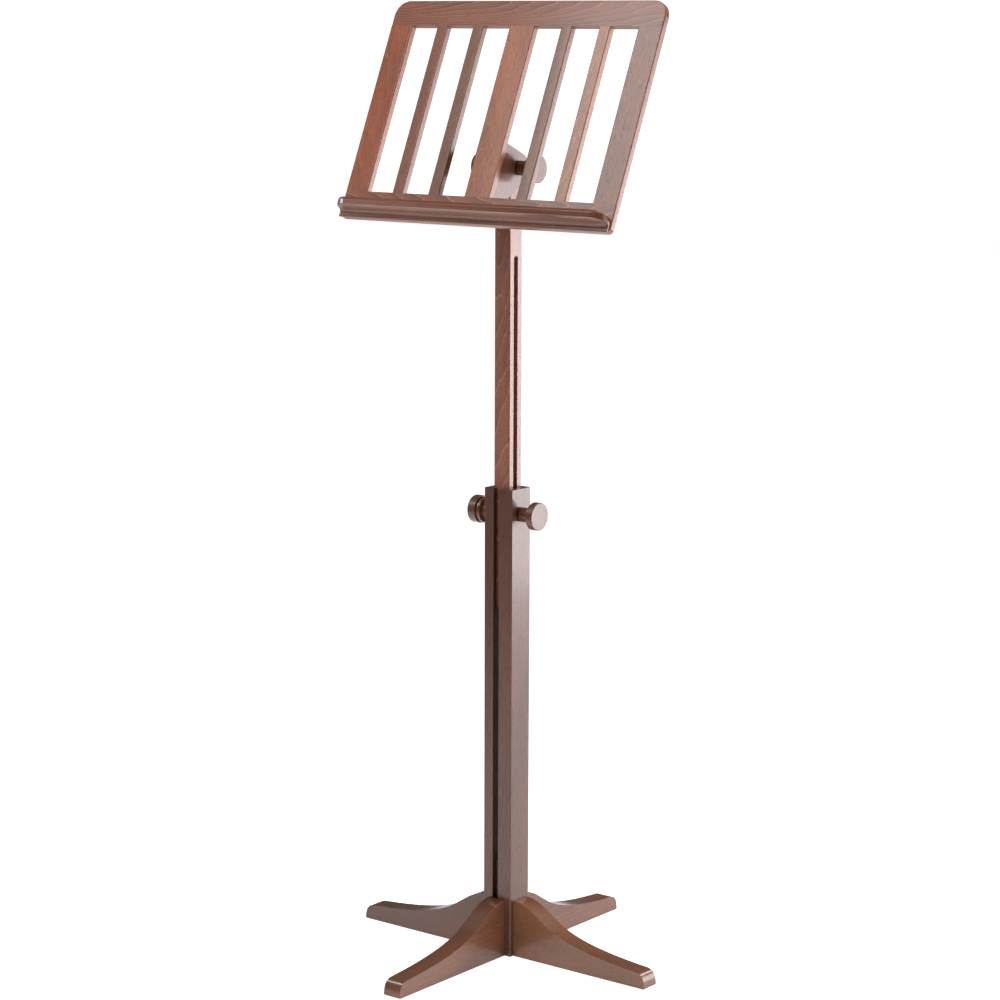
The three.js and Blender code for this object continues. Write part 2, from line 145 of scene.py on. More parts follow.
class StandColours(bpy.types.PropertyGroup):
    """The stain's colours, before light and gloss; the groove and washer colours are painted darker
    to stand in for shade.
    """

    post: colour("Post stain", "Stain of the column, the mast and the feet", (0.165, 0.06, 0.032))
    desk: colour("Desk stain", "Stain of the desk's bars", (0.29, 0.098, 0.048))
    knob: colour("Knob stain", "Stain of the turned knobs", (0.12, 0.05, 0.03))
    # Painted shade: the column's inner faces and base block get this near-black, unlacquered tone
    # for the shade inside the narrow channel.
    groove: colour("Groove painted shade", "Stain inside the column, unlacquered", (0.06, 0.028, 0.018))
    raw: colour("Bare beech", "Unstained beech of the dowels", (0.62, 0.42, 0.25))
    steel: colour("Steel", "Zinc-plated steel of the studs", (0.46, 0.46, 0.45))
    # Painted shade: the washers' near-black colour makes them sink into the shade round the knob
    # necks.
    washer: colour("Washer", "Darkened steel of the washers", (0.05, 0.042, 0.038))
    brass: colour("Brass", "Brass of the threaded inserts", (0.6, 0.42, 0.16))
    felt: colour("Felt", "Felt of the pads under the feet", (0.035, 0.028, 0.026))


def sizes():
    return bpy.context.scene.stand_sizes


def colours():
    return bpy.context.scene.stand_colours


# ---- Shaping ----


def box_in_desk(node):
    """A desk node's lowest and highest corners with the desk stood upright on its pivot."""
    upright = DESK_PLACE.inverted()
    corners = [upright @ v.co for v in frame["nodes"][node].data.vertices]
    low = Vector(min(c[i] for c in corners) for i in range(3))
    high = Vector(max(c[i] for c in corners) for i in range(3))
    return low, high


def start_shape():
    shape = bmesh.new()
    shape.faces.layers.float.new(EDGE_MARK)
    return shape


def block(low, high):
    """A square-edged block between two corners."""
    shape = start_shape()
    size = high - low
    place = Matrix.Translation((low + high) / 2) @ Matrix.Diagonal((*size, 1))
    bmesh.ops.create_cube(shape, size=1, matrix=place)
    return shape


def plank(outline, across, thickness):
    """A flat outline given a thickness along the axis `across`."""
    shape = start_shape()
    face = shape.faces.new([shape.verts.new(point) for point in outline])
    sweep = Vector((0, 0, 0))
    sweep[across] = thickness
    grown = bmesh.ops.extrude_face_region(shape, geom=[face], use_keep_orig=True)
    moved = [part for part in grown["geom"] if isinstance(part, bmesh.types.BMVert)]
    bmesh.ops.translate(shape, verts=moved, vec=sweep)
    bmesh.ops.recalc_face_normals(shape, faces=shape.faces)
    return shape


def edges_along(shape, axis, test=lambda middle: True):
    """The straight edges that run along an axis and whose middle passes the test."""
    found = []
    for edge in shape.edges:
        run = edge.verts[1].co - edge.verts[0].co
        middle = (edge.verts[0].co + edge.verts[1].co) / 2
        if abs(run[axis]) > SQUARE * run.length and test(middle):
            found.append(edge)
    return found


def rim_edges(shape, axis, levels, test=lambda middle: True):
    """The edges round the flat faces that stand square to an axis at the given levels."""
    found = []
    for edge in shape.edges:
        ends = [v.co[axis] for v in edge.verts]
        if not any(max(abs(end - level) for end in ends) < WELD for level in levels):
            continue
        flat = [face for face in edge.link_faces if abs(face.normal[axis]) > SQUARE]
        middle = (edge.verts[0].co + edge.verts[1].co) / 2
        if len(flat) == 1 and test(middle):
            found.append(edge)
    return found


def round_edges(shape, edges, radius, steps=4):
    """Rounds edges over and marks the new faces, because they wear first and take a painted
    highlight.
    """
    made = bmesh.ops.bevel(
        shape, geom=edges, affect="EDGES", offset=radius, offset_type="OFFSET",
        segments=steps, profile=0.5, clamp_overlap=True, material=-1,
    )
    mark = shape.faces.layers.float[EDGE_MARK]
    for face in made["faces"]:
        face[mark] = 1.0


def arc(centre, radius, start, end, steps):
    """Points on an arc in a plane, from one angle to another."""
    turns = [start + (end - start) * i / steps for i in range(steps + 1)]
    return [(centre[0] + radius * math.cos(t), centre[1] + radius * math.sin(t)) for t in turns]


def bezier(a, b, c, d, steps):
    """Points on a cubic curve after its first point."""
    points = []
    for i in range(1, steps + 1):
        t = i / steps
        s = 1 - t
        weights = (s**3, 3 * s * s * t, 3 * s * t * t, t**3)
        points.append(tuple(sum(w * p[k] for w, p in zip(weights, (a, b, c, d))) for k in range(2)))
    return points


def bend(a, pull, b, steps):
    """Points on a quadratic curve after its first point."""
    rise = [tuple(p + 2 / 3 * (q - p) for p, q in zip(end, pull)) for end in (a, b)]
    return bezier(a, *rise, b, steps)


def turned(profile, steps=56):
    """A lathe turning about the X axis, from (distance along X, radius) points."""
    shape = start_shape()
    points = [shape.verts.new((along, radius, 0)) for along, radius in profile]
    edges = [shape.edges.new(pair) for pair in zip(points, points[1:])]
    bmesh.ops.spin(
        shape, geom=points + edges, cent=(0, 0, 0), axis=(1, 0, 0), dvec=(0, 0, 0),
        angle=2 * math.pi, steps=steps, use_merge=True,
    )
    return shape


def finish_piece(shape, node, kind, *finishes, place=None):
    """Makes a shape an object that stands for a CAD node and rides on the node's body."""
    bmesh.ops.remove_doubles(shape, verts=shape.verts, dist=WELD)
    bmesh.ops.recalc_face_normals(shape, faces=shape.faces)
    if place is not None:
        shape.transform(place)
    mesh = bpy.data.meshes.new(f"{node}_{kind}")
    shape.to_mesh(mesh)
    shape.free()
    mesh.shade_smooth()
    mesh.set_sharp_from_angle(angle=SHARP_ANGLE)
    for finish in finishes:
        mesh.materials.append(finish)
    piece = bpy.data.objects.new(mesh.name, mesh)
    bpy.context.scene.collection.objects.link(piece)
    shading = piece.modifiers.new("even shading", "WEIGHTED_NORMAL")
    shading.keep_sharp = True
    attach(piece, body_of(node))
    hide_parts(node)


def body_of(node):
    groups = frame["record"]["behaviour"]["bodies"]
    return next(body for body, members in groups.items() if node in members)


# ---- Shader node groups ----


class Weave:
    """Adds and joins nodes in one node tree."""

    def __init__(self, tree):
        self.tree = tree

    def node(self, kind, **settings):
        made = self.tree.nodes.new(kind)
        for name, value in settings.items():
            setattr(made, name, value)
        return made

    def put(self, node, **inputs):
        """Sets or joins inputs by name, with underscores for spaces."""
        for name, value in inputs.items():
            self.feed(node.inputs[name.replace("_", " ")], value)

    def feed(self, socket, value):
        if isinstance(value, bpy.types.NodeSocket):
            self.tree.links.new(value, socket)
        else:
            socket.default_value = value

    def math(self, operation, first, second=0.0, clamp=False):
        made = self.node("ShaderNodeMath", operation=operation, use_clamp=clamp)
        self.feed(made.inputs[0], first)
        self.feed(made.inputs[1], second)
        return made.outputs[0]

    def times(self, first, second, clamp=False):
        return self.math("MULTIPLY", first, second, clamp)

    def plus(self, first, second, clamp=False):
        return self.math("ADD", first, second, clamp)

    def minus(self, first, second):
        return self.math("SUBTRACT", first, second)

    def noise(self, vector, scale, detail, rough, seed=0.0, warp=0.0):
        made = self.node("ShaderNodeTexNoise", noise_dimensions="4D")
        self.put(made, Vector=vector, Scale=scale, Detail=detail, Roughness=rough)
        self.put(made, W=seed, Distortion=warp)
        return made.outputs["Fac"]

    def stretched(self, vector, scales, detail, rough, seed=0.0, warp=0.0):
        """Noise with a scale of its own along each axis."""
        made = self.node("ShaderNodeVectorMath", operation="MULTIPLY")
        self.feed(made.inputs[0], vector)
        self.feed(made.inputs[1], scales)
        return self.noise(made.outputs[0], 1, detail, rough, seed, warp)

    def ramp(self, value, low, high, floor=0.0, ceiling=1.0):
        """A smooth step from floor to ceiling between two values."""
        made = self.node("ShaderNodeMapRange", interpolation_type="SMOOTHSTEP", clamp=True)
        self.put(made, Value=value, From_Min=low, From_Max=high, To_Min=floor, To_Max=ceiling)
        return made.outputs["Result"]

    def mix(self, amount, first, second):
        made = self.node("ShaderNodeMix", data_type="RGBA", clamp_factor=True)
        self.feed(made.inputs[0], amount)
        self.feed(made.inputs[6], first)
        self.feed(made.inputs[7], second)
        return made.outputs[2]


def node_group(name, inputs, outputs):
    """An empty shader group with named sockets: its Weave, its inputs and its output node."""
    tree = bpy.data.node_groups.new(name, "ShaderNodeTree")
    for direction, sockets in (("INPUT", inputs), ("OUTPUT", outputs)):
        for label, kind in sockets:
            tree.interface.new_socket(label, in_out=direction, socket_type=f"NodeSocket{kind}")
    weave = Weave(tree)
    entry = weave.node("NodeGroupInput")
    leave = weave.node("NodeGroupOutput")
    return weave, entry.outputs, leave


# How finely each mark of beech repeats, per metre: across a board, through it and along it.
WAVER_SCALES = (14, 14, 3.4)
PACE_SCALES = (70, 70, 0)
FIBRE_SCALES = (1500, 1500, 34)
FLECK_SCALES = (620, 620, 110)
RAY_SCALES = (260, 420, 170)
RAY_PATCH_SCALES = (18, 18, 6)
BLOTCH_SCALES = (22, 22, 5)
RINGS_PER_METRE = 240
RING_WAVER = 0.016
RING_DRIFT = 0.08
RING_PACE = 1.6
PACE_SEED = 7.0
# Where in a year's ring the dark late wood and the pale early line start, grow full and end.
LATE_START, LATE_END = (0.2, 0.86), (0.94, 0.88)
EARLY_START, EARLY_END = (0.86, 0.94), (1.0, 0.96)


def grain_group():
    """Beech with the grain along Z: growth rings, fibres, dark flecks, silver rays and blotches."""
    inputs = [("Place", "Vector"), ("Board", "Float")]
    inputs += [(label, "Color") for label in ("Stain", "Dark", "Light")]
    inputs += [(label, "Float") for label in ("Rings", "Flecks", "Rays")]
    outputs = [("Color", "Color"), ("Roughness", "Float"), ("Height", "Float")]
    weave, given, leave = node_group("Beech grain", inputs, outputs)
    place, board = given["Place"], given["Board"]

    parts = weave.node("ShaderNodeSeparateXYZ")
    weave.put(parts, Vector=place)
    depth = weave.plus(parts.outputs["Y"], weave.times(parts.outputs["Z"], RING_DRIFT))
    section = weave.node("ShaderNodeCombineXYZ")
    weave.put(section, X=parts.outputs["X"], Y=depth)
    from_pith = weave.node("ShaderNodeVectorMath", operation="LENGTH")
    weave.put(from_pith, Vector=section.outputs[0])
    waver = weave.minus(weave.stretched(place, WAVER_SCALES, 2, 0.5, board), 0.5)
    reach = weave.plus(from_pith.outputs["Value"], weave.times(waver, RING_WAVER))
    pace = weave.stretched(section.outputs[0], PACE_SCALES, 1, 0.5, PACE_SEED)
    years = weave.plus(weave.times(reach, RINGS_PER_METRE), weave.times(pace, RING_PACE))
    year = weave.math("FRACT", years)
    late = weave.times(weave.ramp(year, *LATE_START), weave.ramp(year, *LATE_END))
    early = weave.times(weave.ramp(year, *EARLY_START), weave.ramp(year, *EARLY_END))
    ring_tone = weave.times(late, given["Rings"])
    line_tone = weave.times(early, weave.times(given["Rings"], 1.5, clamp=True))

    fibre = weave.stretched(place, FIBRE_SCALES, 3, 0.6, board)
    fleck = weave.ramp(weave.stretched(place, FLECK_SCALES, 1, 0.4, board), 0.58, 0.66)
    fleck_tone = weave.times(fleck, given["Flecks"])
    ray = weave.ramp(weave.stretched(place, RAY_SCALES, 1, 0.45, board, 0.6), 0.63, 0.72)
    patch = weave.ramp(weave.stretched(place, RAY_PATCH_SCALES, 2, 0.5, board), 0.4, 0.62)
    ray_tone = weave.times(weave.times(ray, patch), given["Rays"])
    blotch = weave.stretched(place, BLOTCH_SCALES, 3, 0.55, board)

    tone = weave.mix(ring_tone, given["Stain"], given["Dark"])
    tone = weave.mix(weave.ramp(fibre, 0.35, 0.75, 0.0, 0.42), tone, given["Dark"])
    tone = weave.mix(weave.ramp(blotch, 0.3, 0.75, 0.0, 0.38), tone, given["Light"])
    tone = weave.mix(line_tone, tone, given["Light"])
    tone = weave.mix(fleck_tone, tone, given["Dark"])
    tone = weave.mix(ray_tone, tone, given["Light"])

    dull = weave.plus(weave.ramp(fibre, 0.3, 0.8, 0.0, 0.1), weave.times(fleck_tone, 0.1))
    gloss = weave.plus(weave.ramp(blotch, 0.25, 0.8, 0.29, 0.37), dull)
    relief = weave.minus(weave.times(fibre, -0.35), weave.times(fleck, 0.45))
    relief = weave.minus(relief, weave.times(late, 0.15))
    weave.put(leave, Color=tone, Roughness=gloss, Height=relief)
    return weave.tree


def edge_wear_and_highlight_group():
    """Rubbed edges and painted highlights: rounded edges are painted lighter, unevenly, partly as
    stain worn thin and partly as a highlight.
    """
    inputs = [("Color", "Color"), ("Rubbed", "Color"), ("Place", "Vector"), ("Amount", "Float")]
    weave, given, leave = node_group("Rubbed edges", inputs, [("Color", "Color")])
    edge = weave.node("ShaderNodeAttribute", attribute_name=EDGE_MARK)
    uneven = weave.ramp(weave.noise(given["Place"], 60, 3, 0.6), 0.35, 0.7, 0.25, 1.0)
    mask = weave.times(weave.times(edge.outputs["Fac"], uneven), given["Amount"])
    weave.put(leave, Color=weave.mix(mask, given["Color"], given["Rubbed"]))
    return weave.tree


def handling_group():
    """Fine dust and finger marks that break up a gloss."""
    inputs = [("Place", "Vector"), ("Roughness", "Float"), ("Amount", "Float")]
    weave, given, leave = node_group("Handling marks", inputs, [("Roughness", "Float")])
    smear = weave.noise(given["Place"], 26, 4, 0.65, 2.0, 0.8)
    speck = weave.noise(given["Place"], 900, 1, 0.4, 5.0)
    speckled = weave.ramp(speck, 0.66, 0.74, 0.0, 0.3)
    marks = weave.plus(weave.ramp(smear, 0.45, 0.8, 0.0, 0.7), speckled)
    rougher = weave.times(marks, given["Amount"])
    weave.put(leave, Roughness=weave.plus(given["Roughness"], rougher, clamp=True))
    return weave.tree


GROUPS = {
    "Beech grain": grain_group,
    "Rubbed edges": edge_wear_and_highlight_group,
    "Handling marks": handling_group,
}


def shared_group(name):
    """A group by name, made the first time that it is asked for."""
    return bpy.data.node_groups.get(name) or GROUPS[name]()


# ---- Materials ----

GRAIN_UP = (0, 0, 0)
GRAIN_ALONG_X = (0, -QUARTER, 0)
GRAIN_ALONG_Y = (QUARTER, 0, 0)
GRAIN_UP_DESK = (DESK_LEAN, 0, 0)
GRAIN_ACROSS_DESK = (DESK_LEAN, -QUARTER, 0)


def new_material(name):
    """A material with its Weave and its Principled shader."""
    finish = bpy.data.materials.new(name)
    finish.use_nodes = True
    weave = Weave(finish.node_tree)
    shader = finish.node_tree.nodes["Principled BSDF"]
    return finish, weave, shader


def grouped(weave, name, **inputs):
    made = weave.node("ShaderNodeGroup", label=name, node_tree=shared_group(name))
    weave.put(made, **inputs)
    return made


def placed(weave, turn, shift):
    """Object coordinates turned so that Z runs along the grain, and shifted to a board's pith."""
    source = weave.node("ShaderNodeTexCoord")
    mapping = weave.node("ShaderNodeMapping", vector_type="POINT")
    weave.put(mapping, Vector=source.outputs["Object"], Rotation=turn, Location=shift)
    return mapping.outputs["Vector"]


def shade(rgb, factor, tint=(1, 1, 1)):
    return tuple(min(1, channel * factor * t) for channel, t in zip(rgb, tint)) + (1,)


def bumped(weave, shader, height, strength, distance):
    bump = weave.node("ShaderNodeBump")
    weave.put(bump, Height=height, Strength=strength, Distance=distance)
    weave.put(shader, Normal=bump.outputs["Normal"])


# The edge colour is partly stain worn thin and partly a painted highlight, so it is lighter and
# bluer than the stain.
DARK_WOOD, LIGHT_WOOD, EDGE_WEAR_AND_HIGHLIGHT = 0.42, 2.0, 2.3  # shares of the stain's own brightness
EDGE_WEAR_AND_HIGHLIGHT_TINT = (1, 1.02, 1.05)
HANDLING = 0.07


def stained_beech(
    node, stain, turn, board, tint=(1, 1, 1), pith=(0.02, 0.04),
    rings=0.35, flecks=0.5, rays=0.2, wear_and_highlight=0.12,
):
    """Beech under a satin lacquer, with a tone and a distance from the pith for each board."""
    finish, weave, shader = new_material(f"{node} stain")
    low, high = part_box(node)
    centre = Euler(turn).to_matrix() @ ((low + high) / 2)
    place = placed(weave, turn, (pith[0] - centre.x, pith[1] - centre.y, -centre.z))
    grain = grouped(
        weave, "Beech grain", Place=place, Board=float(board), Stain=shade(stain, 1, tint),
        Dark=shade(stain, DARK_WOOD, tint), Light=shade(stain, LIGHT_WOOD, tint),
        Rings=rings, Flecks=flecks, Rays=rays,
    )
    # Rounded edges are painted lighter: partly stain worn thin, partly a painted highlight that
    # grows with the amount.
    worn = grouped(
        weave, "Rubbed edges", Place=place, Color=grain.outputs["Color"],
        Rubbed=shade(stain, EDGE_WEAR_AND_HIGHLIGHT, EDGE_WEAR_AND_HIGHLIGHT_TINT), Amount=wear_and_highlight,
    )
    gloss = grain.outputs["Roughness"]
    marks = grouped(weave, "Handling marks", Place=place, Roughness=gloss, Amount=HANDLING)
    weave.put(shader, Base_Color=worn.outputs["Color"], Roughness=marks.outputs["Roughness"])
    weave.put(shader, Coat_Weight=0.6, Coat_Roughness=0.14, Coat_IOR=1.5)
    bumped(weave, shader, grain.outputs["Height"], 0.22, 0.0002)
    return finish


def dull_beech(name, tone, turn, board):
    """Planed beech with no lacquer: bare, stained, and for the column's inside painted near-black
    as shade.
    """
    finish, weave, shader = new_material(name)
    grain = grouped(
        weave, "Beech grain", Place=placed(weave, turn, (0.02, -0.04, 0.13 * board)),
        Board=float(board), Stain=shade(tone, 1), Dark=shade(tone, 0.7),
        Light=shade(tone, 1.15), Rings=0.4, Flecks=0.6, Rays=0.2,
    )
    dry = weave.plus(grain.outputs["Roughness"], 0.3, clamp=True)
    weave.put(shader, Base_Color=grain.outputs["Color"], Roughness=dry)
    bumped(weave, shader, grain.outputs["Height"], 0.4, 0.0003)
    return finish


TOOL_MARK_SCALES = (9000, 60, 60)
THREAD_SCALE = 251.0


def metal(name, tone, tarnish, threaded=False):
    """Turned metal with fine tool marks round it, and a thread's ridges where it is a screw."""
    finish, weave, shader = new_material(name)
    place = placed(weave, GRAIN_UP, (0, 0, 0))
    cloud = weave.noise(place, 240, 4, 0.6)
    marks = weave.stretched(place, TOOL_MARK_SCALES, 2, 0.5)
    stained = weave.ramp(cloud, 0.4, 0.75, 0, 0.6)
    weave.put(shader, Base_Color=weave.mix(stained, shade(tone, 1), shade(tone, tarnish)))
    weave.put(shader, Metallic=1.0, Roughness=weave.ramp(cloud, 0.3, 0.8, 0.24, 0.46))
    if threaded:
        thread = weave.node("ShaderNodeTexWave", bands_direction="X", wave_profile="TRI")
        weave.put(thread, Vector=place, Scale=THREAD_SCALE, Distortion=0.0)
        ridges = weave.plus(thread.outputs["Fac"], weave.times(marks, 0.1))
        bumped(weave, shader, ridges, 0.8, 0.0006)
    else:
        bumped(weave, shader, marks, 0.15, 0.0001)
    return finish


def felt():
    """Dense dark felt: matted fibres with lighter fuzz."""
    finish, weave, shader = new_material("Felt")
    place = placed(weave, GRAIN_UP, (0, 0, 0))
    mat = weave.noise(place, 1400, 5, 0.7, 1.0, 1.2)
    clump = weave.noise(place, 260, 3, 0.6, 4.0)
    tone = colours().felt
    tint = weave.mix(weave.ramp(mat, 0.35, 0.75), shade(tone, 0.6), shade(tone, 2.2))
    tint = weave.mix(weave.ramp(clump, 0.5, 0.8, 0, 0.4), tint, shade(tone, 3))
    weave.put(shader, Base_Color=tint, Roughness=weave.ramp(mat, 0.3, 0.8, 0.86, 1.0))
    weave.put(shader, Sheen_Weight=0.4, Sheen_Roughness=0.5)
    bumped(weave, shader, mat, 0.7, 0.0004)
    return finish


# ---- Base ----


class STAND_OT_column(bpy.types.Operator):
    """Shape the column's two channel rails, which face each other a half turn apart"""

    bl_idname = "stand.column"
    bl_label = "Column rails"

    def execute(self, context):
        low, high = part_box("column_rail_right")
        inner = high.x - sizes().wall
        cavity = high.y - sizes().lip
        section = [
            (low.x, low.y),
            (high.x, low.y),
            (high.x, high.y),
            (high.x - sizes().short_lip, high.y),
            (high.x - sizes().short_lip, cavity),
            (inner, cavity),
            (inner, -cavity),
            (low.x, -cavity),
        ]
        # The channel's inner faces take a second, unlacquered material painted near-black: painted
        # shade inside the narrow channel.
        groove = dull_beech("Column groove painted shade", colours().groove, GRAIN_UP, 3)
        for board, (side, turn) in enumerate({"right": 0, "left": math.pi}.items()):
            shape = plank([(x, y, low.z) for x, y in section], Z, high.z - low.z)
            outer = edges_along(shape, Z, lambda middle: middle.x > high.x - WELD)
            round_edges(shape, outer, sizes().post_round)
            lips = edges_along(shape, Z, lambda middle: middle.x < inner - WELD)
            round_edges(shape, lips, sizes().fine_round, 2)
            round_edges(shape, rim_edges(shape, Z, [high.z]), sizes().fine_round, 2)
            for face in shape.faces:
                middle = face.calc_center_median()
                inward = max(abs(face.normal.x), abs(face.normal.y)) > SQUARE
                if inward and middle.x < inner + WELD and abs(middle.y) < high.y - WELD:
                    face.material_index = 1
            node = f"column_rail_{side}"
            finish = stained_beech(
                node, colours().post, GRAIN_UP, board + 1,
                tint=(0.74, 0.72, 0.72), pith=(0.03, -0.03), rings=0.3, flecks=0.6,
            )
            place = Matrix.Rotation(turn, 4, "Z")
            finish_piece(shape, node, "wood", finish, groove, place=place)
        return {"FINISHED"}


TOE_ROUND = 1.5 * MM
TOE_RUN = 14 * MM  # from the toe back to where the foot's upper line starts
FOOT_TURN = (0.245, 0.703)  # where the sweep changes its bend, as shares of reach and height


def foot_outline(root, toe, floor):
    """A foot's side as (reach, height) points: an S-curve from the column down to a blunt toe."""
    tip, top = sizes().foot_tip, sizes().foot_root
    brow = (toe - TOE_RUN, tip)
    turn = (root + (toe - root) * FOOT_TURN[0], floor + (top - floor) * FOOT_TURN[1])
    toe_pulls = (toe - 0.3 * MM, 16 * MM), (toe - 5 * MM, tip - 1.5 * MM)
    sweep_pulls = (toe - 104 * MM, tip + 6.5 * MM), (root + 87 * MM, tip + 18 * MM)
    crest_pulls = (root + 39 * MM, top - 14 * MM), (root + 25 * MM, top)
    foot = [(root, floor)]
    foot += arc((toe - TOE_ROUND, floor + TOE_ROUND), TOE_ROUND, -QUARTER, 0, 3)
    foot += bezier(foot[-1], *toe_pulls, brow, 6)
    foot += bezier(brow, *sweep_pulls, turn, 16)
    foot += bezier(turn, *crest_pulls, (root, top), 10)
    return foot


class STAND_OT_feet(bpy.types.Operator):
    """Shape the four swept feet with their rounded upper edges and toes"""

    bl_idname = "stand.feet"
    bl_label = "Feet"

    def execute(self, context):
        plan = {
            "front": (-QUARTER, GRAIN_ALONG_Y, Y, (0.98, 0.95, 0.8)),
            "right": (0, GRAIN_ALONG_X, X, (1.25, 1.3, 1.05)),
            "back": (QUARTER, GRAIN_ALONG_Y, Y, (1.12, 0.98, 0.95)),
            "left": (math.pi, GRAIN_ALONG_X, X, (0.7, 0.72, 0.75)),
        }
        for board, (name, (turn, grain, axis, tint)) in enumerate(plan.items()):
            low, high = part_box(f"foot_{name}")
            reaches = sorted((abs(low[axis]), abs(high[axis])))
            half = (high - low)[Y if axis == X else X] / 2
            side = [(r, -half, z) for r, z in foot_outline(*reaches, low.z)]
            shape = plank(side, Y, 2 * half)
            root, floor = reaches[0], low.z

            def clear(middle):
                return middle.x > root + WELD and middle.z > floor + 2 * MM

            round_edges(shape, rim_edges(shape, Y, [-half, half], clear), sizes().foot_round, 5)
            # The feet's high edge amount paints a highlight line along their rounded upper edges,
            # beyond the wear.
            finish = stained_beech(
                f"foot_{name}", colours().post, grain, board + 5, tint=tint,
                pith=(0.05, 0.02), rings=0.3, flecks=0.45, rays=0.15, wear_and_highlight=0.8,
            )
            place = Matrix.Rotation(turn, 4, "Z")
            finish_piece(shape, f"foot_{name}", "wood", finish, place=place)
        return {"FINISHED"}


class STAND_OT_pads(bpy.types.Operator):
    """Cut the felt pads under the feet, with a soft upper and lower edge"""

    bl_idname = "stand.pads"
    bl_label = "Felt pads"

    def execute(self, context):
        cloth = felt()
        for name in ("front", "right", "back", "left"):
            low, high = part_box(f"foot_pad_{name}")
            centre = (low + high) / 2
            radius, thick = (high.x - low.x) / 2, high.z - low.z
            soft = thick * 0.3
            profile = [(0, 0), (0, radius - soft)]
            profile += [(soft, radius), (thick - soft, radius), (thick, radius - soft), (thick, 0)]
            shape = turned(profile, 40)
            upright = Matrix.Rotation(-QUARTER, 4, "Y")
            place = Matrix.Translation((centre.x, centre.y, low.z)) @ upright
            finish_piece(shape, f"foot_pad_{name}", "felt", cloth, place=place)
        return {"FINISHED"}


# ---- Mast ----


class STAND_OT_mast(bpy.types.Operator):
    """Shape the square mast with its long clamp slot and its round head"""

    bl_idname = "stand.mast"
    bl_label = "Mast"

    def execute(self, context):
        low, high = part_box("mast_post")
        half, slot = high.x, sizes().slot_width / 2
        bottom, top = sizes().slot_bottom + slot, sizes().slot_top - slot
        head = arc((0, PIVOT_HEIGHT), half, 0, QUARTER, 10)
        opening = arc((0, top), slot, QUARTER, 0, 6) + arc((0, bottom), slot, 0, -QUARTER, 6)
        outline = [(0, low.z), (half, low.z)] + head + opening
        shape = plank([(-half, y, z) for y, z in outline], X, 2 * half)
        seam = [face for face in shape.faces if all(abs(v.co.y) < WELD for v in face.verts)]
        bmesh.ops.delete(shape, geom=seam, context="FACES")
        everything = shape.verts[:] + shape.edges[:] + shape.faces[:]
        bmesh.ops.mirror(shape, geom=everything, axis="Y", merge_dist=WELD)
        bmesh.ops.recalc_face_normals(shape, faces=shape.faces)

        def inside(middle):
            past_ends = middle.z < bottom - slot - WELD or middle.z > top + slot + WELD
            return abs(middle.y) < slot + WELD and not past_ends

        def outside(middle):
            return not inside(middle) and middle.z > low.z + WELD

        round_edges(shape, rim_edges(shape, X, [-half, half], outside), sizes().post_round)
        round_edges(shape, rim_edges(shape, X, [-half, half], inside), sizes().fine_round, 2)
        finish = stained_beech(
            "mast_post", colours().post, GRAIN_UP, 11,
            tint=(1.66, 1.8, 2.05), pith=(0.012, -0.06), rings=0.4, flecks=0.45,
        )
        finish_piece(shape, "mast_post", "wood", finish)
        return {"FINISHED"}


# ---- Desk ----


class STAND_OT_desk_rails(bpy.types.Operator):
    """Shape the desk's top and bottom rails with their rounded corners"""

    bl_idname = "stand.desk_rails"
    bl_label = "Desk rails"

    def execute(self, context):
        plan = {
            "top": (1, sizes().top_corner, (0.02, 0.034)),
            "bottom": (-1, sizes().bottom_corner, (0.01, 0.05)),
        }
        for board, (name, (outward, corner, pith)) in enumerate(plan.items()):
            low, high = box_in_desk(f"desk_{name}_rail")
            shape = block(low, high)
            edge = high.z if outward > 0 else low.z
            inner = low.z if outward > 0 else high.z
            corners = edges_along(shape, Y, lambda middle: abs(middle.z - edge) < WELD)
            round_edges(shape, corners, corner, 12)
            faces = [low.y, high.y]
            outer = rim_edges(shape, Y, faces, lambda middle: abs(middle.z - inner) > WELD)
            round_edges(shape, outer, sizes().rail_round)
            opening = rim_edges(shape, Y, faces, lambda middle: abs(middle.z - inner) < WELD)
            round_edges(shape, opening, sizes().fine_round, 2)
            finish = stained_beech(
                f"desk_{name}_rail", colours().desk, GRAIN_ACROSS_DESK, board + 21,
                tint=(0.98, 0.98, 1.05), pith=pith, rings=0.85, flecks=0.35, rays=0.1,
            )
            finish_piece(shape, f"desk_{name}_rail", "wood", finish, place=DESK_PLACE)
        return {"FINISHED"}


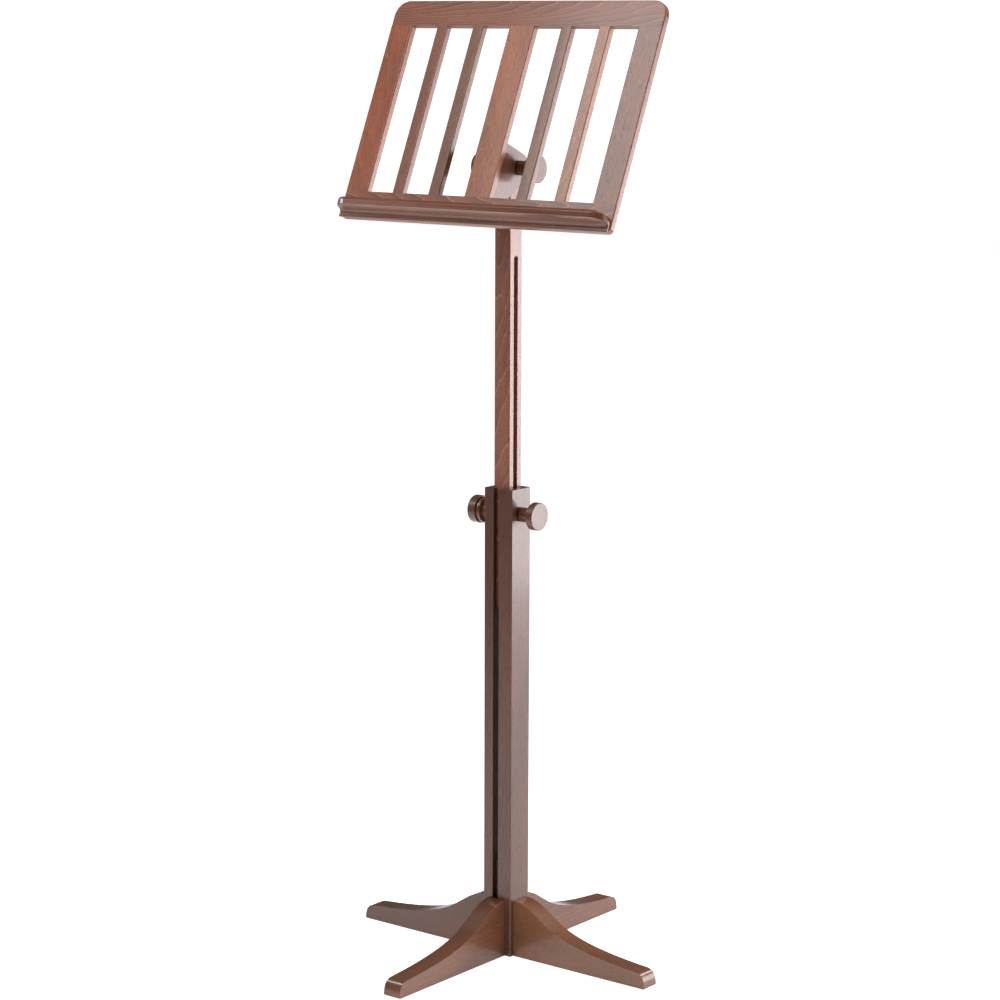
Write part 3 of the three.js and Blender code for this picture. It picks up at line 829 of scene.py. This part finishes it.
class STAND_OT_desk_bars(bpy.types.Operator):
    """Shape the desk's upright bars: two stiles, four slats and the centre bar"""

    bl_idname = "stand.desk_bars"
    bl_label = "Desk bars"

    def execute(self, context):
        bottom = box_in_desk("desk_bottom_rail")[1].z
        top = box_in_desk("desk_top_rail")[0].z
        boards = {
            "desk_stile_left": ((1.15, 0.9, 0.7), 0.18, 0.6, 0.5),
            "desk_slat_left_outer": ((0.8, 0.84, 0.9), 0.12, 0.4, 0.1),
            "desk_slat_left_inner": ((0.78, 0.95, 1.1), 0.12, 0.4, 0.05),
            "desk_centre_bar": ((1.38, 1.4, 1.4), 0.14, 0.45, 0.15),
            "desk_slat_right_inner": ((0.84, 1.02, 1.18), 0.12, 0.4, 0.1),
            "desk_slat_right_outer": ((1.42, 1.75, 2.0), 0.2, 0.3, 0.8),
            "desk_stile_right": ((1.0, 1.1, 1.2), 0.14, 0.6, 0.15),
        }
        for board, (node, (tint, rings, flecks, rays)) in enumerate(boards.items()):
            low, high = box_in_desk(node)
            low.z, high.z = bottom, top
            shape = block(low, high)
            round_edges(shape, edges_along(shape, Z), sizes().bar_round)
            pith = (0.012 - 0.009 * (board % 3), 0.05 + 0.008 * (board % 2))
            finish = stained_beech(
                node, colours().desk, GRAIN_UP_DESK, board + 31,
                tint=tint, pith=pith, rings=rings, flecks=flecks, rays=rays,
            )
            finish_piece(shape, node, "wood", finish, place=DESK_PLACE)
        return {"FINISHED"}


def ledge_section(low, high):
    """The ledge's section as (Y, Z) points: a flat strip, a trough, a round nose and a cove."""
    front, back, top = low.y, high.y, high.z
    under = top - sizes().nose
    crest = front + sizes().nose_round
    foot = back - sizes().ledge_foot
    flat = back - sizes().ledge_flat
    dip = ((flat + crest) / 2, top - 2 * sizes().trough)
    section = [(back, low.z), (back, top), (flat, top)]
    section += bend(section[-1], dip, (crest, top), 12)
    section += arc((crest, top - sizes().nose_round), sizes().nose_round, QUARTER, math.pi, 10)[1:]
    section += [(front + sizes().nose_slope, under)]
    pulls = (foot - 8 * MM, under - 1.4 * MM), (foot, under - 3 * MM)
    section += bezier(section[-1], *pulls, (foot, under - sizes().cove_drop), 16)
    return section + [(foot, low.z)]


CORNER_CUTS = 14


def round_ends(shape, low, high):
    """Rounds the ledge's upper corners seen from the front, and its nose seen from above."""
    radius, nose, plan = sizes().ledge_corner, sizes().nose_round, sizes().ledge_plan
    start, foot = high.x - radius, high.y - sizes().ledge_foot
    steps = [math.sin(QUARTER * i / CORNER_CUTS) for i in range(CORNER_CUTS)]
    cuts = [start + radius * step for step in steps]
    cuts = sorted(cuts + [high.x - plan + plan * step for step in steps])
    for side in SIDES.values():
        for cut in cuts:
            bmesh.ops.bisect_plane(
                shape, geom=shape.verts[:] + shape.edges[:] + shape.faces[:],
                dist=WELD / 10, plane_co=(side * cut, 0, 0), plane_no=(1, 0, 0),
            )
    for vertex in shape.verts:
        past = min(max(abs(vertex.co.x) - start, 0), radius)
        limit = high.z - radius + math.sqrt(radius**2 - past**2)
        if vertex.co.z > limit + WELD:
            vertex.co.z = limit
            drop = high.z - nose - limit
            if drop > 0:
                edge = low.y + sizes().nose_slope * drop / (sizes().nose - nose)
            else:
                edge = low.y + nose - math.sqrt(nose**2 - drop**2)
            vertex.co.y = max(vertex.co.y, edge)
        past = min(max(abs(vertex.co.x) - high.x + plan, 0), plan)
        reach = (foot - low.y - plan + math.sqrt(plan**2 - past**2)) / (foot - low.y)
        if vertex.co.y < foot:
            vertex.co.y = foot + (vertex.co.y - foot) * reach


class STAND_OT_ledge(bpy.types.Operator):
    """Shape the ledge that the pages rest on: a rounded nose over a cove, with a pencil trough"""

    bl_idname = "stand.ledge"
    bl_label = "Ledge"

    def execute(self, context):
        low, high = box_in_desk("desk_ledge")
        section = ledge_section(low, high)
        shape = plank([(low.x, y, z) for y, z in section], X, high.x - low.x)
        foot = high.y - sizes().ledge_foot
        under = high.z - sizes().nose

        def under_nose(middle):
            return abs(middle.z - under) < WELD and middle.y < foot - WELD

        def lowest(middle):
            return middle.z < low.z + WELD and middle.y < high.y - WELD

        round_edges(shape, edges_along(shape, X, under_nose), sizes().fine_round * 1.6, 3)
        round_edges(shape, edges_along(shape, X, lowest), sizes().fine_round * 2, 3)
        round_edges(shape, rim_edges(shape, X, [low.x, high.x]), sizes().fine_round, 2)
        round_ends(shape, low, high)
        finish = stained_beech(
            "desk_ledge", colours().desk, GRAIN_ACROSS_DESK, 41,
            tint=(0.72, 0.7, 0.72), pith=(0.05, 0.02), rings=0.6, flecks=0.4, rays=0.15,
        )
        finish_piece(shape, "desk_ledge", "wood", finish, place=DESK_PLACE)
        return {"FINISHED"}


class STAND_OT_cheeks(bpy.types.Operator):
    """Shape the two cheeks that carry the desk on the mast's head"""

    bl_idname = "stand.cheeks"
    bl_label = "Tilt cheeks"

    def execute(self, context):
        back = box_in_desk("desk_centre_bar")[1].y
        for side, sign in SIDES.items():
            node = f"tilt_cheek_{side}"
            low, high = box_in_desk(node)
            head = sizes().cheek_head
            foot = Vector((back + sizes().cheek_foot, low.z))
            leave = math.atan2(-foot.y, -foot.x) - math.asin(head / foot.length) - QUARTER
            outline = [(back, low.z), tuple(foot)]
            outline += arc((0, 0), head, leave, QUARTER, 20) + [(back, head)]
            shape = plank([(low.x, y, z) for y, z in outline], X, high.x - low.x)
            edges = rim_edges(shape, X, [low.x, high.x], lambda middle: middle.y > back + WELD)
            round_edges(shape, edges, sizes().fine_round * 2, 3)
            finish = stained_beech(
                node, colours().post, GRAIN_UP_DESK, 51 + sign, pith=(0.03, -0.06)
            )
            finish_piece(shape, node, "wood", finish, place=DESK_PLACE)
        return {"FINISHED"}


# ---- Clamps ----


def right_knob(neck, rim):
    """A plain neck that flares out to a thick cap."""
    neck_end, flare_end, rim_start, lip = 14 * MM, 20.2 * MM, 22 * MM, rim - 2.2 * MM
    flare_pulls = (17.4 * MM, neck), (18.4 * MM, neck + 3.2 * MM)
    turn = sizes().rim_round
    points = [(neck_end, neck)]
    points += bezier(points[-1], *flare_pulls, (flare_end, lip), 10)
    return points + arc((rim_start, rim - turn), turn, math.pi - 0.6, QUARTER, 5)


def left_knob(collar, rim):
    """A swelling collar, a broad bead and a fine groove under the cap."""
    dip, bead, groove, chamfer = collar - 0.5 * MM, rim - 1.2 * MM, rim - 4 * MM, 0.4 * MM
    collar_start, collar_end = 0.5 * MM, 9 * MM
    bead_start, bead_crown, bead_end = 9.8 * MM, 13.3 * MM, 16.8 * MM
    groove_start, groove_end, rim_start = 17.1 * MM, 17.8 * MM, 18.2 * MM
    swell_pulls = (2 * MM, collar + 2.2 * MM), (5 * MM, collar + 1.2 * MM)
    rise_pulls = (bead_start, bead), (11 * MM, bead)
    fall_pulls = (15.6 * MM, bead), (bead_end, bead)
    turn = sizes().rim_round
    points = bezier((collar_start, collar), *swell_pulls, (collar_end, dip), 10)
    points += [(bead_start - chamfer, dip), (bead_start, dip + chamfer)]
    points += bezier(points[-1], *rise_pulls, (bead_crown, bead), 8)
    points += bezier(points[-1], *fall_pulls, (bead_end, groove + chamfer), 8)
    points += [(groove_start, groove), (groove_end, groove), (rim_start, groove + chamfer)]
    return points + arc((rim_start + turn, rim - turn), turn, math.pi, QUARTER, 6)


def knob_profile(side, long, rim):
    """A turned knob from its bore out to its dished cap, as (distance, radius) points."""
    turn = sizes().rim_round
    bore, recess, ease, dish = 4 * MM, 0.6 * MM, 0.5 * MM, 0.3 * MM
    neck = sizes().neck if side == "right" else sizes().collar
    points = [(recess, 0), (recess, bore), (0, bore + 0.3 * MM), (0, neck - ease), (ease, neck)]
    points += right_knob(neck, rim) if side == "right" else left_knob(neck, rim)
    points += arc((long - turn, rim - turn), turn, QUARTER, 0, 6)
    return points + [(long - 0.25 * MM, rim * 0.55), (long - dish, 0)]


class STAND_OT_knobs(bpy.types.Operator):
    """Turn the four clamping knobs"""

    bl_idname = "stand.knobs"
    bl_label = "Knobs"

    def execute(self, context):
        board = 60
        for clamp in ("height", "tilt"):
            for side, sign in SIDES.items():
                node = f"{clamp}_knob_{side}"
                low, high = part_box(node)
                near = min(abs(low.x), abs(high.x))
                centre = (low + high) / 2
                shape = turned(knob_profile(side, high.x - low.x, (high.z - low.z) / 2))
                turn = Matrix.Rotation(0 if sign > 0 else math.pi, 4, "Z")
                place = Matrix.Translation((sign * near, centre.y, centre.z)) @ turn
                board += 1
                finish = stained_beech(
                    node, colours().knob, GRAIN_ALONG_X, board, tint=(1.12, 0.92, 0.75),
                    pith=(0.012, 0.02), rings=0.3, flecks=0.4, rays=0.1,
                )
                finish_piece(shape, node, "turning", finish, place=place)
        return {"FINISHED"}


class STAND_OT_washers(bpy.types.Operator):
    """Stamp the four steel washers between the knobs and the wood"""

    bl_idname = "stand.washers"
    bl_label = "Washers"

    def execute(self, context):
        # The washers' near-black colour is painted shade round the knob necks.
        plate = metal("Washer steel", colours().washer, 0.6)
        hole, edge = 4.3 * MM, 0.3 * MM
        for clamp in ("height", "tilt"):
            for side in SIDES:
                node = f"{clamp}_washer_{side}"
                low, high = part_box(node)
                centre = (low + high) / 2
                radius, thick = (high.z - low.z) / 2, high.x - low.x
                outer = [(0, radius - edge), (edge, radius)]
                outer += [(thick - edge, radius), (thick, radius - edge)]
                inner = [(thick, hole + edge), (thick - edge, hole), (edge, hole), (0, hole + edge)]
                shape = turned(outer + inner + outer[:1], 48)
                place = Matrix.Translation((low.x, centre.y, centre.z))
                finish_piece(shape, node, "steel", plate, place=place)
        return {"FINISHED"}


class STAND_OT_inner_parts(bpy.types.Operator):
    """Give the studs, threaded inserts, dowels and base block their materials"""

    bl_idname = "stand.inner_parts"
    bl_label = "Inner parts"

    def execute(self, context):
        stud = metal("Stud steel", colours().steel, 0.7, threaded=True)
        brass = metal("Insert brass", colours().brass, 0.55)
        dowels = {
            "front": dull_beech("Dowel beech lengthwise", colours().raw, GRAIN_ALONG_Y, 71),
            "right": dull_beech("Dowel beech crosswise", colours().raw, GRAIN_ALONG_X, 72),
        }
        dowels["back"], dowels["left"] = dowels["front"], dowels["right"]
        for name, node in frame["nodes"].items():
            if name.endswith("_stud"):
                give_finish(node, stud)
            if "_insert_" in name:
                give_finish(node, brass)
            if name.startswith("foot_dowel_"):
                give_finish(node, dowels[name.split("_")[2]])
        # The base block inside the column takes the groove's painted-shade colour.
        block_shade = dull_beech("Block painted shade", colours().groove, GRAIN_UP, 73)
        give_finish(frame["nodes"]["column_base_block"], block_shade)
        return {"FINISHED"}


def give_finish(node, finish):
    node.data.materials.clear()
    node.data.materials.append(finish)


# ---- Stage ----

CAMERA_AZIMUTH = math.radians(38.096)
CAMERA_PITCH = math.radians(9.696)
CAMERA_ROLL = math.radians(0.192)
CAMERA_AIM = Vector((-0.0086, -0.0067, 0.6886))
CAMERA_DISTANCE = 4.093
CAMERA_LENS = 100.53
FLOOR_REACH = 14
FLOOR_GLOW = 0.92  # how bright the camera sees the floor
FLOOR_BOUNCE = 0.55  # how much it lights the stand from below
FLOOR_POOL = (0.9, 2.5)  # where that light starts and ends to fade, out from the stand
SKY_SEEN, SKY_CAST = 1.2, 0.1
WHITE, ROSE = (1, 1, 1), (1.0, 0.96, 0.98)
# Name, azimuth and pitch in degrees, distance, target, width, height, brightness, tint.
PANELS = (
    ("Right back panel", 140, 0, 2.6, (0.06, 0, 0.47), 1.2, 0.9, 7.0, ROSE),
    ("Right back upper panel", 138, 0, 2.6, (0.1, 0, 1.17), 1.1, 0.5, 4.6, ROSE),
    ("Upper front panel", -24, 46, 3.0, (0, 0, 1.15), 1.9, 1.6, 4.6, WHITE),
    ("Overhead panel", 129, 64, 2.6, (0, 0, 0.8), 1.4, 1.4, 4.0, WHITE),
    ("Left strip", -63, 49, 1.6, (0, 0, 0.05), 0.3, 0.3, 12.0, WHITE),
    ("Back strip", 157, 36, 1.6, (0, 0, 0.05), 0.3, 0.3, 12.0, WHITE),
    ("Right panel", 102, 20, 3.0, (0, 0, 0.5), 1.2, 1.4, 2.4, WHITE),
)


def direction(azimuth, pitch):
    """From the stand towards a place round it: azimuth 0 is in front, 90 is the player's right."""
    flat = math.cos(pitch)
    return Vector((math.sin(azimuth) * flat, -math.cos(azimuth) * flat, math.sin(pitch)))


def add_camera():
    data = bpy.data.cameras.new("Camera")
    data.lens = CAMERA_LENS
    camera = bpy.data.objects.new("Camera", data)
    bpy.context.scene.collection.objects.link(camera)
    back = direction(CAMERA_AZIMUTH, CAMERA_PITCH)
    camera.location = CAMERA_AIM + back * CAMERA_DISTANCE
    camera.rotation_mode = "QUATERNION"
    level = (-back).to_track_quat("-Z", "Y")
    camera.rotation_quaternion = level @ Quaternion((0, 0, 1), CAMERA_ROLL)
    bpy.context.scene.camera = camera


def add_panel(name, azimuth, pitch, distance, target, width, height, brightness, tint):
    """A soft light panel that faces the stand. Brightness is the panel's own, so size keeps it."""
    data = bpy.data.lights.new(name, "AREA")
    data.shape = "RECTANGLE"
    data.size = width
    data.size_y = height
    data.energy = brightness * width * height * math.pi
    data.color = tint
    light = bpy.data.objects.new(name, data)
    bpy.context.scene.collection.objects.link(light)
    back = direction(math.radians(azimuth), math.radians(pitch))
    light.location = Vector(target) + back * distance
    light.rotation_mode = "QUATERNION"
    light.rotation_quaternion = (-back).to_track_quat("-Z", "Y")
    light.visible_camera = False


def add_floor():
    """A pale floor that the camera sees as bright as the background, so that no horizon shows."""
    shape = bmesh.new()
    bmesh.ops.create_grid(shape, x_segments=1, y_segments=1, size=FLOOR_REACH)
    mesh = bpy.data.meshes.new("floor")
    shape.to_mesh(mesh)
    shape.free()
    floor = bpy.data.objects.new("floor", mesh)
    bpy.context.scene.collection.objects.link(floor)
    finish, weave, shader = new_material("Pale floor")
    grain = weave.noise(placed(weave, GRAIN_UP, (0, 0, 0)), 40, 3, 0.5)
    tint = weave.mix(weave.ramp(grain, 0.3, 0.7), (0.93, 0.93, 0.93, 1), (0.95, 0.95, 0.95, 1))
    weave.put(shader, Base_Color=tint, Roughness=0.8, Specular_IOR_Level=0.2)
    path = weave.node("ShaderNodeLightPath")
    reach = weave.node("ShaderNodeVectorMath", operation="LENGTH")
    weave.put(reach, Vector=placed(weave, GRAIN_UP, (0, 0, 0)))
    near = weave.ramp(reach.outputs["Value"], *FLOOR_POOL)
    pool = weave.times(weave.minus(1.0, near), FLOOR_BOUNCE)
    seen = weave.times(path.outputs["Is Camera Ray"], FLOOR_GLOW)
    glow = weave.math("MAXIMUM", seen, pool)
    weave.put(shader, Emission_Color=(1, 1, 1, 1), Emission_Strength=glow)
    mesh.materials.append(finish)
    floor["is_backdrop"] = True


def add_sky(seen, cast):
    """A white background that lights the stand less than it shows."""
    world = bpy.data.worlds.new("Studio white")
    bpy.context.scene.world = world
    world.use_nodes = True
    weave = Weave(world.node_tree)
    background = world.node_tree.nodes["Background"]
    path = weave.node("ShaderNodeLightPath")
    strength = weave.node("ShaderNodeMapRange")
    weave.put(strength, Value=path.outputs["Is Camera Ray"], To_Min=cast, To_Max=seen)
    weave.put(background, Color=(1, 1, 1, 1), Strength=strength.outputs["Result"])


class STAND_OT_stage(bpy.types.Operator):
    """Set up the floor, the soft lights, the white background and the camera"""

    bl_idname = "stand.stage"
    bl_label = "Stage"

    def execute(self, context):
        context.scene.view_settings.view_transform = "Standard"
        add_floor()
        add_sky(SKY_SEEN, SKY_CAST)
        for panel in PANELS:
            add_panel(*panel)
        add_camera()
        return {"FINISHED"}


# ---- Add-on ----


class STAND_PT_workshop(bpy.types.Panel):
    """Lists the steps that make the stand, and its sizes and colours"""

    bl_idname = "STAND_PT_workshop"
    bl_label = "Music Stand"
    bl_space_type = "VIEW_3D"
    bl_region_type = "UI"
    bl_category = "Music Stand"

    def draw(self, context):
        for step in STEPS:
            self.layout.operator(step.bl_idname)
        for owner in (context.scene.stand_sizes, context.scene.stand_colours):
            column = self.layout.column()
            for name in owner.__annotations__:
                column.prop(owner, name)


STEPS = (
    STAND_OT_column,
    STAND_OT_feet,
    STAND_OT_pads,
    STAND_OT_mast,
    STAND_OT_desk_rails,
    STAND_OT_desk_bars,
    STAND_OT_ledge,
    STAND_OT_cheeks,
    STAND_OT_knobs,
    STAND_OT_washers,
    STAND_OT_inner_parts,
    STAND_OT_stage,
)
CLASSES = (StandSizes, StandColours, *STEPS, STAND_PT_workshop)


def register():
    for kind in CLASSES:
        bpy.utils.register_class(kind)
    bpy.types.Scene.stand_sizes = PointerProperty(type=StandSizes)
    bpy.types.Scene.stand_colours = PointerProperty(type=StandColours)


def unregister():
    del bpy.types.Scene.stand_colours
    del bpy.types.Scene.stand_sizes
    for kind in reversed(CLASSES):
        bpy.utils.unregister_class(kind)


def write_sizes():
    boxes = {"cad": CAD_BOX, "visual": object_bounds()}
    boxes = {name: [list(corner) for corner in box] for name, box in boxes.items()}


def main():
    register()
    for step in STEPS:
        area, name = step.bl_idname.split(".")
        getattr(getattr(bpy.ops, area), name)()
    write_sizes()


if __name__ == "__main__":
    main()
